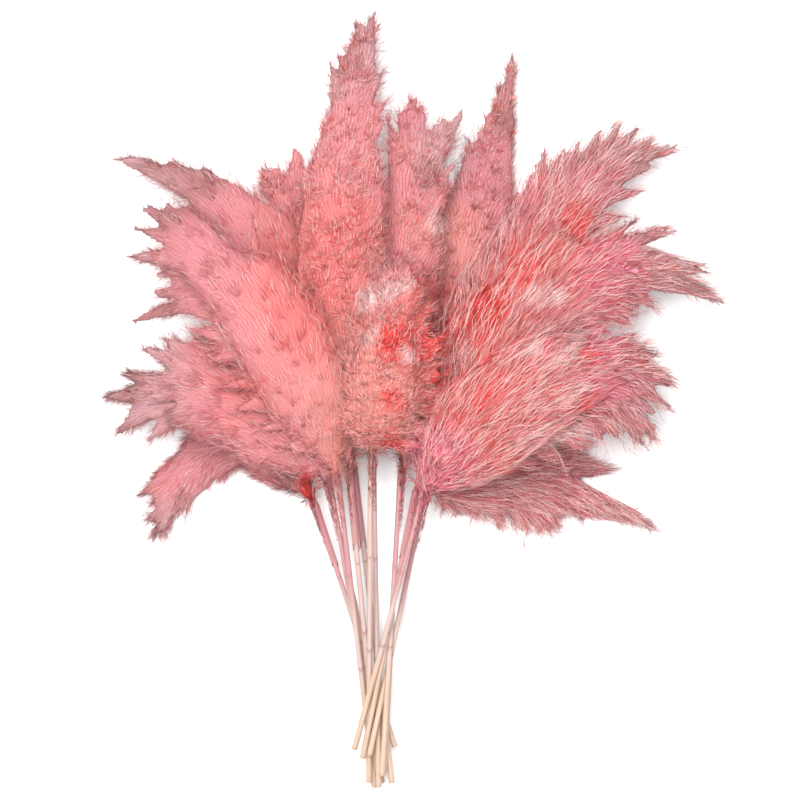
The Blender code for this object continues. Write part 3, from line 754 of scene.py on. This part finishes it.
# How many hairs each plume has. The plumes that lie on top have the most.
ON_TOP = ("left_mid", "left_high", "centre_tall", "centre_front", "right_high", "right_mid")
HAIRS_ON_TOP = 14000
HAIRS_BELOW = 7600
IN_TUFT = 20
TIP_PATCH = 17.0
TIPS_AT_EDGE = 0.8
TIP_WISPS = 400
GAP_KEPT = 0.85
COLLAR = 48.0
COLLAR_HAIRS = 420


def leaning(direction, lean, angle):
    """Each direction, tipped over by a lean, to the side that the angle gives."""
    level = unit(np.cross(direction, UP))
    upward = np.cross(level, direction)
    out = level * np.cos(angle)[:, None] + upward * np.sin(angle)[:, None]
    return unit(direction * np.cos(lean)[:, None] + out * np.sin(lean)[:, None]), out


def on_branch(branch, t):
    start, bend, end = branch
    t = t[:, None]
    return start * (1 - t) ** 2 + bend * 2 * t * (1 - t) + end * t ** 2


def branch_heading(branch, t):
    start, bend, end = branch
    t = t[:, None]
    return unit((bend - start) * (1 - t) + (end - bend) * t)


def side_branches(form, axis, heading, length, rng):
    """The branches all round the axis. Each ends close to where it meets the form of the plume."""
    tree = BVHTree.FromPolygons([v.co for v in form.vertices], [p.vertices for p in form.polygons])
    count = int(length * 0.8)
    share = np.clip(np.linspace(0.0, 0.97, count) + rng.normal(0.0, 0.01, count), 0.005, 0.985)
    index = (share * (len(axis) - 1)).astype(int)
    start = axis[index]
    forward = heading[index]
    turn = np.arange(count) * GOLDEN_ANGLE + rng.normal(0.0, 0.25, count)
    turn = np.arctan2(0.5 * np.sin(turn), np.cos(turn))
    lean = np.radians(np.interp(share, [0.0, 0.12, 0.3, 0.7, 1.0], [88.0, 68.0, 50.0, 36.0, 12.0]))
    lean = lean * rng.uniform(0.75, 1.2, count)
    aim, out = leaning(forward, lean, turn)
    reach = np.zeros(count)
    for k in range(count):
        hit = tree.ray_cast(Vector(start[k] * MM), Vector(aim[k]))
        reach[k] = (hit[3] if hit[0] is not None else 0.012) / MM
    reach = np.clip(reach * rng.uniform(0.86, 1.0, count) + rng.uniform(-3.0, 1.0, count), 5.0, 110.0)
    end = start + aim * reach[:, None]
    bend = start + unit(aim + 0.5 * forward) * (0.5 * reach)[:, None]
    return start, bend, end, np.full(count, 0.9)


def lock_branches(locks, axis, heading, rng):
    """The branches that lie together in each lock, as far as its tip."""
    starts, bends, ends, fullness = [], [], [], []
    last = len(axis) - 1
    for share, tip in locks:
        index = int(share * last)
        tip = np.array(tip, float) + SET_DOWN
        gap = np.linalg.norm(tip - axis[index])
        for k in range(7):
            place = axis[min(max(int((share + rng.uniform(-0.05, 0.06)) * last), 0), last)]
            back = rng.uniform(0.0, 0.34) if k else 0.0
            bend = place + heading[index] * 0.45 * gap
            end = tip + (bend - tip) * back * 0.9
            end = end + rng.normal(0.0, 1.0, 3) * (0.3 + 9.0 * back) * np.array([1.0, 1.0, 0.6])
            starts.append(place + rng.normal(0.0, 1.5, 3))
            bends.append(bend + rng.normal(0.0, 2.5, 3))
            ends.append(end)
            fullness.append(0.4 + 0.9 * back)
    return np.array(starts), np.array(bends), np.array(ends), np.array(fullness)


def tip_hairs(branch, fullness, count, look, rng):
    """Hairs at the ends of the branches."""
    which = rng.choice(len(fullness), count)
    t = 1.0 - 0.5 * rng.uniform(0.0, 1.0, count) ** 1.3
    chosen = tuple(points[which] for points in branch)
    narrow = 1.0 - (1.0 - fullness[which]) * t
    lean = np.radians(rng.uniform(*look["spread"], count)) * (1.15 - 0.55 * t) * narrow
    aim, _ = leaning(branch_heading(chosen, t), lean, rng.uniform(0.0, 2 * math.pi, count))
    length = look["edge"] * rng.uniform(0.5, 1.0, count) * (1.1 - 0.4 * t) * narrow ** 0.5
    root = on_branch(chosen, t)
    return root, root + aim * length[:, None]


def edge_hairs(mesh, axis, count, look, rng):
    """Hairs where the skin turns away from above, which make the outline of the plume soft."""
    place, out = seats(mesh, count, (-0.5, -0.2, 0.4, 0.7), (0.0, 1.0, 1.0, 0.0), rng)
    flow, side = hair_lie(place, out, axis, look["flow"])
    fan = np.radians(rng.normal(0.0, 14.0, count))[:, None]
    rise = np.radians(rng.uniform(*look["stand"], count))[:, None]
    aim = unit((flow * np.cos(fan) + side * np.sin(fan)) * np.cos(rise) + out * np.sin(rise))
    root = place - out * 1.0
    return root, root + aim * (look["edge"] * rng.uniform(0.3, 1.0, count) ** 1.5)[:, None]


def seats(mesh, count, levels, odds, rng):
    """Places on the skin of a plume and the way it faces there. The odds depend on how far it faces up."""
    face = np.zeros((len(mesh.polygons), 3), np.float32)
    out = np.zeros_like(face)
    area = np.zeros(len(face), np.float32)
    mesh.polygons.foreach_get("center", face.ravel())
    mesh.polygons.foreach_get("normal", out.ravel())
    mesh.polygons.foreach_get("area", area)
    weight = area.astype(float) * np.interp(out[:, 2], levels, odds)
    seat = rng.choice(len(face), count, p=weight / weight.sum())
    return face[seat].astype(float) / MM + rng.normal(0.0, 0.8, (count, 3)), unit(out[seat].astype(float))


def tufts(mesh, axis, count, look, rng):
    """Tufts all over the down. The hairs of one tuft fan out from one root, and bend."""
    place, out = seats(mesh, count // IN_TUFT, (-0.6, 0.0, 0.5), (0.1, 0.6, 1.0), rng)
    flow, side = hair_lie(place, out, axis, look["flow"])
    stray = np.radians(rng.normal(0.0, look["stray"], len(place)))[:, None]
    flow, side = flow * np.cos(stray) + side * np.sin(stray), side * np.cos(stray) - flow * np.sin(stray)
    tuft = np.repeat(np.arange(len(place)), IN_TUFT)
    place, out, flow, side = place[tuft], out[tuft], flow[tuft], side[tuft]
    size = len(tuft)
    fan = np.radians(rng.normal(0.0, look["fan"], size))[:, None]
    rise = np.radians(rng.uniform(*look["rise"], size))[:, None]
    length = look["longest"] * rng.uniform(0.45, 1.0, size)[:, None]
    aim = unit((flow * np.cos(fan) + side * np.sin(fan)) * np.cos(rise) + out * np.sin(rise))
    root = place - flow * 0.5 * look["longest"] + side * rng.normal(0.0, 1.3, (size, 1)) - out * 1.2
    root = root + aim * look["longest"] * rng.uniform(0.0, 0.35, (size, 1))
    curl = rng.normal(0.0, look["curl"], (size, 1))
    middle = root + (aim * 0.5 + out * 0.05 + side * curl) * length
    return np.stack([root, middle, root + aim * length], axis=1), tuft


def dyed_tones(place, pick, patches, rng):
    """A tone for each hair from the patches of dye around it. Hairs with near picks take the same patch."""
    share = dye_shares(place, patches) ** 2.5
    share = np.cumsum(share / share.sum(axis=1, keepdims=True), axis=1)
    chosen = np.argmax(share >= pick[:, None], axis=1)
    tone = np.array([row[3] for row in patches], float)
    return tone[chosen] + rng.normal(0.0, 0.2, len(place))


def strands(lines, thick, profile, tone):
    """Closed three-sided strands, pointed at both ends, along lines of places."""
    count, stations, _ = lines.shape
    heading = unit(np.gradient(lines, axis=1))
    level = unit(np.cross(heading, UP))
    upward = np.cross(level, heading)
    corners = np.zeros((count, 3 * (stations - 2) + 2, 3))
    corners[:, 0] = lines[:, 0]
    corners[:, -1] = lines[:, -1]
    for k, angle in enumerate(np.radians([90.0, 210.0, 330.0])):
        side = level[:, 1:-1] * math.cos(angle) + upward[:, 1:-1] * math.sin(angle)
        radius = thick[:, None, None] * np.array(profile)[None, :, None]
        corners[:, 1 + k:-1:3] = lines[:, 1:-1] + side * radius
    u = np.concatenate([[0.02], np.repeat(np.linspace(0.02, 0.98, stations)[1:-1], 3), [0.98]])
    last = 3 * (stations - 2) + 1
    faces = []
    for k in range(3):
        after = (k + 1) % 3
        faces.append((0, 1 + k, 1 + after))
        faces.append((last, last - 3 + after, last - 3 + k))
        for ring in range(stations - 3):
            low = 1 + 3 * ring
            faces.append((low + k, low + 3 + k, low + after))
            faces.append((low + after, low + 3 + k, low + 3 + after))
    faces = np.array(faces)
    v = np.zeros(last + 1)
    v[1:-1:3] = -0.006
    v[2:-1:3] = 0.006
    return gathered(corners, np.broadcast_to(faces, (count, *faces.shape)), u, v, tone)


def kites(root, tip, across, wide, tone):
    """Fine straight hairs, each closed and four-sided: a root, a tip and the two sides of its middle."""
    side = across * (wide / 2)[:, None]
    middle = root + 0.35 * (tip - root) + unit(np.cross(tip - root, across)) * (wide / 2)[:, None]
    corners = np.stack([root, middle - side, middle + side, tip], axis=1)
    faces = np.array([[0, 1, 2], [3, 2, 1], [0, 3, 1], [0, 2, 3]])
    inside = np.einsum("ni,ni->n", np.cross(corners[:, 1] - corners[:, 0], corners[:, 2] - corners[:, 0]),
                       corners[:, 3] - corners[:, 0])
    turned = np.where((inside > 0)[:, None, None], faces[None, :, ::-1], faces[None])
    return gathered(corners, turned, np.array([0.02, 0.5, 0.5, 0.98]), np.array([0.0, -0.006, 0.006, 0.0]),
                    tone)


def gathered(corners, faces, u, v, tone):
    """Places, faces and map places of many small shapes, ready to be joined in one mesh."""
    count, each, _ = corners.shape
    tone = np.clip((tone + 0.5) / len(TONES), 0.02, 0.98)
    uv = np.stack([u[faces], tone[:, None, None] + v[faces]], axis=-1)
    faces = faces + each * np.arange(count)[:, None, None]
    return corners.reshape(-1, 3), faces.reshape(-1, 3), uv.reshape(-1, 3, 2)


def joined_mesh(name, bundles):
    """One mesh of all the bundles, with the map that its material reads."""
    corners = np.vstack([bundle[0] for bundle in bundles])
    corners[:, 2] = np.maximum(corners[:, 2], 0.4)
    before = np.cumsum([0] + [len(bundle[0]) for bundle in bundles])
    faces = np.vstack([bundle[1] + start for bundle, start in zip(bundles, before)])
    uv = np.vstack([bundle[2] for bundle in bundles])
    mesh = bpy.data.meshes.new(name)
    mesh.vertices.add(len(corners))
    mesh.vertices.foreach_set("co", (corners * MM).astype(np.float32).ravel())
    mesh.loops.add(3 * len(faces))
    mesh.loops.foreach_set("vertex_index", faces.astype(np.int32).ravel())
    mesh.polygons.add(len(faces))
    mesh.polygons.foreach_set("loop_start", np.arange(0, 3 * len(faces), 3, dtype=np.int32))
    layer = mesh.uv_layers.new(name="OFBake")
    layer.data.foreach_set("uv", uv.astype(np.float32).ravel())
    mesh.update()
    mesh.validate()
    return mesh


def hair_material(name):
    """Dyed hair: the tone runs across the map, with painted shade at the root that lightens to the tip."""
    material, nodes, links, shader = node_material(name)
    uv = nodes.new("ShaderNodeUVMap")
    uv.uv_map = "OFBake"
    parts = nodes.new("ShaderNodeSeparateXYZ")
    ramp = nodes.new("ShaderNodeValToRGB")
    elements = ramp.color_ramp.elements
    elements[0].position = 0.5 / len(TONES)
    elements[0].color = (*TONES[0], 1.0)
    elements[1].position = (len(TONES) - 0.5) / len(TONES)
    elements[1].color = (*TONES[-1], 1.0)
    for index, tone in enumerate(TONES[1:-1], 1):
        element = elements.new((index + 0.5) / len(TONES))
        element.color = (*tone, 1.0)
    # Painted shade: each hair is darker and redder at its root, deep in the plume, and reaches its full tone towards
    # its tip.
    painted_root_shade = nodes.new("ShaderNodeValToRGB")
    painted_root_shade.color_ramp.elements[0].color = (0.92, 0.68, 0.66, 1.0)
    painted_root_shade.color_ramp.elements[1].position = 0.8
    painted_root_shade.color_ramp.elements[1].color = (1.0, 1.0, 1.0, 1.0)
    mix = nodes.new("ShaderNodeMix")
    mix.data_type = "RGBA"
    mix.blend_type = "MULTIPLY"
    mix.inputs["Factor"].default_value = 1.0
    links.new(uv.outputs["UV"], parts.inputs["Vector"])
    links.new(parts.outputs["Y"], ramp.inputs["Fac"])
    links.new(parts.outputs["X"], painted_root_shade.inputs["Fac"])
    links.new(ramp.outputs["Color"], mix.inputs["A"])
    links.new(painted_root_shade.outputs["Color"], mix.inputs["B"])
    links.new(mix.outputs["Result"], shader.inputs["Base Color"])
    shader.inputs["Roughness"].default_value = 0.75
    shader.inputs["Specular IOR Level"].default_value = 0.25
    return material


LOOKS = {
    "left": {"slot": "plume_mauve", "lying": 0.34, "edges": 0.5, "tips": 0.16, "spread": (6.0, 30.0),
             "longest": 14.0, "edge": 15.0, "wide": 0.30, "flow": 0.18, "stray": 10.0, "fan": 16.0,
             "rise": (3.0, 14.0), "stand": (8.0, 45.0), "curl": 0.06, "pale": 0.15, "pales": (4.2, 5.0), "dark": 0.04,
             "wisps": 300, "wisp": 18.0, "bends": 4, "strand": 0.2, "faded": 0.25},
    "centre": {"slot": "plume_coral", "lying": 0.6, "edges": 0.3, "tips": 0.1, "spread": (10.0, 40.0),
               "longest": 12.0, "edge": 17.0, "wide": 0.38, "flow": 0.15, "stray": 26.0, "fan": 38.0,
               "rise": (8.0, 38.0), "stand": (8.0, 42.0), "curl": 0.13, "pale": 0.4, "pales": (3.2, 4.0), "dark": 0.12,
               "wisps": 200, "wisp": 14.0, "bends": 4, "strand": 0.2, "faded": 0.35},
    "right": {"slot": "plume_rose", "lying": 0.5, "edges": 0.36, "tips": 0.14, "spread": (5.0, 20.0),
              "longest": 25.0, "edge": 16.0, "wide": 0.34, "flow": 0.2, "stray": 10.0, "fan": 13.0,
              "rise": (2.0, 12.0), "stand": (8.0, 45.0), "curl": 0.07, "pale": 0.4, "pales": (3.9, 4.7), "dark": 0.22,
              "wisps": 1200, "wisp": 36.0, "bends": 5, "strand": 0.26, "faded": 0.2},
}


def collar_hairs(axis, heading, count, rng):
    """Short hairs on the top of the cane, fewer and fewer down from the plume."""
    down = COLLAR * rng.uniform(0.0, 1.0, count)[:, None] ** 1.6
    along = np.broadcast_to(heading[0], (count, 3))
    aim, out = leaning(along, np.radians(rng.uniform(4.0, 24.0, count)), rng.uniform(0.0, 2 * math.pi, count))
    root = axis[0] - along * down + out * CANE_RADIUS * CANE_TAPER * 0.8
    return root, root + aim * rng.uniform(6.0, 15.0, count)[:, None] * (1.15 - down / COLLAR)


def surface_wisps(mesh, axis, count, look, rng):
    """Long wavy hairs over the skin, paler than what they lie on."""
    place, out = seats(mesh, count, (-0.2, 0.0, 0.5), (0.0, 0.6, 1.0), rng)
    flow, side = hair_lie(place, out, axis, look["flow"])
    length = look["wisp"] * rng.uniform(0.6, 1.2, count)[:, None]
    wave = rng.uniform(-0.07, 0.07, (2, count, 1))
    lines = []
    for s in np.linspace(0.0, 1.0, look["bends"]):
        lift = out * (3.0 * math.sin(math.pi * s) + 0.04 * s * length)
        sway = side * (wave[0] * math.sin(4 * s) + wave[1] * math.sin(8 * s)) * length
        lines.append(place + flow * (s - 0.4) * length + lift + sway)
    return np.stack(lines, axis=1)


def tip_wisps(branch, fullness, count, look, rng):
    """Thin hairs that stand out at the ends of the locks."""
    odds = np.where(fullness < 0.89, 4.0, 1.0)
    which = rng.choice(len(odds), count, p=odds / odds.sum())
    chosen = tuple(points[which] for points in branch)
    t = rng.uniform(0.55, 1.0, count)
    start = on_branch(chosen, t)
    aim, out = leaning(branch_heading(chosen, t), np.radians(rng.uniform(2.0, 22.0, count)),
                       rng.uniform(0.0, 2 * math.pi, count))
    length = rng.uniform(8.0, 25.0, count)[:, None]
    wave = rng.uniform(-0.10, 0.10, (2, count, 1))
    return np.stack([start + aim * s * length
                     + out * (wave[0] * math.sin(3 * s) + wave[1] * math.sin(7 * s)) * length
                     for s in np.linspace(0.0, 1.0, 4)], axis=1)


def clear_of(partings, lines):
    """Tells which hairs keep out of the gaps between the locks. The first place of a hair may be in one."""
    clear = np.ones(len(lines), bool)
    for x1, y1, wide1, x2, y2, wide2 in partings:
        run = np.array([x2 - x1, y2 - y1], float)
        length = np.linalg.norm(run)
        gap = lines[:, 1:, :2] - np.array([x1, y1]) - SET_DOWN[:2]
        share = gap @ run / length ** 2
        beside = np.abs(gap @ np.array([-run[1], run[0]])) / length
        inside = (share > 0.0) & (share < 1.1) & (beside < GAP_KEPT * (wide1 + (wide2 - wide1) * share))
        clear &= ~inside.any(axis=1)
    return clear


def plume_hairs(name, branch, fullness, axis, cane_heading, skin, patches, look, rng):
    """All the hairs of a plume in one mesh."""
    hairs = HAIRS_ON_TOP if name in ON_TOP else HAIRS_BELOW
    lying, tuft = tufts(skin, axis, int(look["lying"] * hairs), look, rng)
    pick = rng.uniform(0.0, 1.0, tuft.max() + 1)[tuft]
    pick = np.where(rng.uniform(0.0, 1.0, len(pick)) < 0.3, rng.uniform(0.0, 1.0, len(pick)), pick)
    tone = dyed_tones(lying[:, 2], pick, patches, rng)
    pale = rng.uniform(0.0, 1.0, len(tone)) < look["pale"]
    tone = np.where(pale, rng.uniform(*look["pales"], len(tone)), tone)
    tone = np.where(rng.uniform(0.0, 1.0, len(tone)) < look["dark"], rng.choice([DEEP, RED, BROWN], len(tone)), tone)
    thick = look["wide"] / 2 * rng.uniform(0.7, 1.2, len(lying)) * np.where(pale, 1.25, 1.0)
    partings = PARTINGS.get(name, [])
    kept = clear_of(partings, lying)
    bundles = [strands(lying[kept], thick[kept], (1.0,), tone[kept])]
    at_tips = tip_hairs(branch, fullness, int(look["tips"] * hairs), look, rng)
    at_edges = edge_hairs(skin, axis, int(look["edges"] * hairs), look, rng)
    at_cane = collar_hairs(axis, cane_heading, COLLAR_HAIRS, rng)
    root, tip = (np.concatenate(ends) for ends in zip(at_tips, at_edges, at_cane))
    outward = root - axis[nearest_on(axis, root)] + 1e-3
    outward = unit(outward + 0.4 * np.linalg.norm(outward, axis=1, keepdims=True) * UP)
    across = unit(np.cross(tip - root, outward + rng.normal(0.0, 0.3, root.shape)))
    wide = look["wide"] * rng.uniform(0.8, 1.3, len(root))
    tone = dyed_tones(tip, rng.uniform(0.0, 1.0, len(root)), patches, rng)
    faded = rng.uniform(0.0, 1.0, len(root)) < look["faded"]
    tone = np.where(faded, rng.uniform(SMOKE, BROWN + 0.4, len(root)), tone)
    kept = clear_of(partings, np.stack([root, 0.5 * (root + tip), tip], axis=1))
    bundles.append(kites(root[kept], tip[kept], across[kept], wide[kept], tone[kept]))
    line = surface_wisps(skin, axis, look["wisps"], look, rng)
    count = len(line)
    tone = dyed_tones(line[:, 2], rng.uniform(0.0, 1.0, count), patches, rng)
    tone = np.where(rng.uniform(0.0, 1.0, count) < 0.6, PALE, tone)
    kept = clear_of(partings, line)
    thick = np.full(kept.sum(), look["strand"])
    bundles.append(strands(line[kept], thick, (1.0, 0.9, 0.5)[:line.shape[1] - 2], tone[kept]))
    line = tip_wisps(branch, fullness, TIP_WISPS, look, rng)
    tone = rng.choice([SMOKE, BROWN, MAUVE], TIP_WISPS) + rng.normal(0.0, 0.2, TIP_WISPS)
    bundles.append(strands(line, np.full(TIP_WISPS, 0.21), (1.0, 0.6), tone))
    return joined_mesh("hairs_of_" + name, bundles)


DOWN = {"left": down_material("down_left", 0.7), "centre": down_material("down_centre", 1.0),
        "right": down_material("down_right", 2.0)}
HAIR = hair_material("hair_dyed")
for order, (name, row) in enumerate(PLUMES.items()):
    side = name.split("_")[0]
    look = LOOKS[side]
    rng = np.random.default_rng(100 + order)
    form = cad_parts["plume_" + name].data
    axis, heading, length = smooth_line(np.array(row["axis"], float) + SET_DOWN, 201)
    around = side_branches(form, axis, heading, length, rng)
    locked = lock_branches(row["locks"] + row["tassels"] + [(0.8, row["axis"][-1])], axis, heading, rng)
    patches = list(PATCHES)
    for count, (x, y, _) in enumerate([row["axis"][-1]] + [tip for _, tip in row["locks"]]):
        if math.hypot(x / HALF_WIDTH, y / HALF_LENGTH) > TIPS_AT_EDGE:
            patches.append((x, y, TIP_PATCH, BROWN if count % 2 else SMOKE))
    down = down_body("down_of_" + name, form, locked, PARTINGS.get(name))
    dye_down(down.data, patches)
    comb_down(down.data, axis, look["flow"])
    down.data.materials.append(DOWN[side])
    *branch, fullness = (np.concatenate([a, b]) for a, b in zip(around, locked))
    cut_end, top = cane_ends(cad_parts["stem_" + name].data)
    mesh = plume_hairs(name, branch, fullness, axis, unit(top - cut_end)[None], down.data, patches, look, rng)
    mesh.materials.append(HAIR)
    hairs = bpy.data.objects.new("hairs_of_" + name, mesh)
    bpy.context.scene.collection.objects.link(hairs)
    for piece in (down, hairs):
        part_of(piece, "plume_" + name)

# The floor, the light and the camera: a plain white floor in soft even light, seen from straight above.
bpy.ops.mesh.primitive_plane_add(size=14.0, location=(0.0, 0.0, -0.0005))
floor = bpy.context.object
floor.name = "floor"
material, nodes, links, shader = node_material("floor_white")
shader.inputs["Base Color"].default_value = (0.88, 0.88, 0.88, 1.0)
shader.inputs["Roughness"].default_value = 0.9
floor.data.materials.append(material)

world = bpy.data.worlds.new("soft_white")
world.use_nodes = True
world.node_tree.nodes["Background"].inputs["Color"].default_value = (1.0, 1.0, 1.0, 1.0)
world.node_tree.nodes["Background"].inputs["Strength"].default_value = 0.7
bpy.context.scene.world = world
bpy.ops.object.light_add(type="AREA", location=(-0.25, 0.3, 2.4))
key = bpy.context.object
key.name = "soft_key"
key.data.shape = "DISK"
key.data.size = 1.2
key.data.energy = 101.0
key.rotation_euler = (-key.location).to_track_quat("-Z", "Y").to_euler()

VIEW_MIDDLE = (-11.1, 3.3)
VIEW_WIDTH = 640.0
VIEW_LEVEL = 80.0
CAMERA_HEIGHT = 2500.0
SENSOR = 36.0
bpy.ops.object.camera_add(location=(VIEW_MIDDLE[0] * MM, VIEW_MIDDLE[1] * MM, CAMERA_HEIGHT * MM),
                          rotation=(0.0, 0.0, 0.0))
camera = bpy.context.object
camera.data.sensor_width = SENSOR
camera.data.lens = SENSOR * (CAMERA_HEIGHT - VIEW_LEVEL) / VIEW_WIDTH
bpy.context.scene.camera = camera
bpy.context.scene.view_settings.view_transform = "Standard"
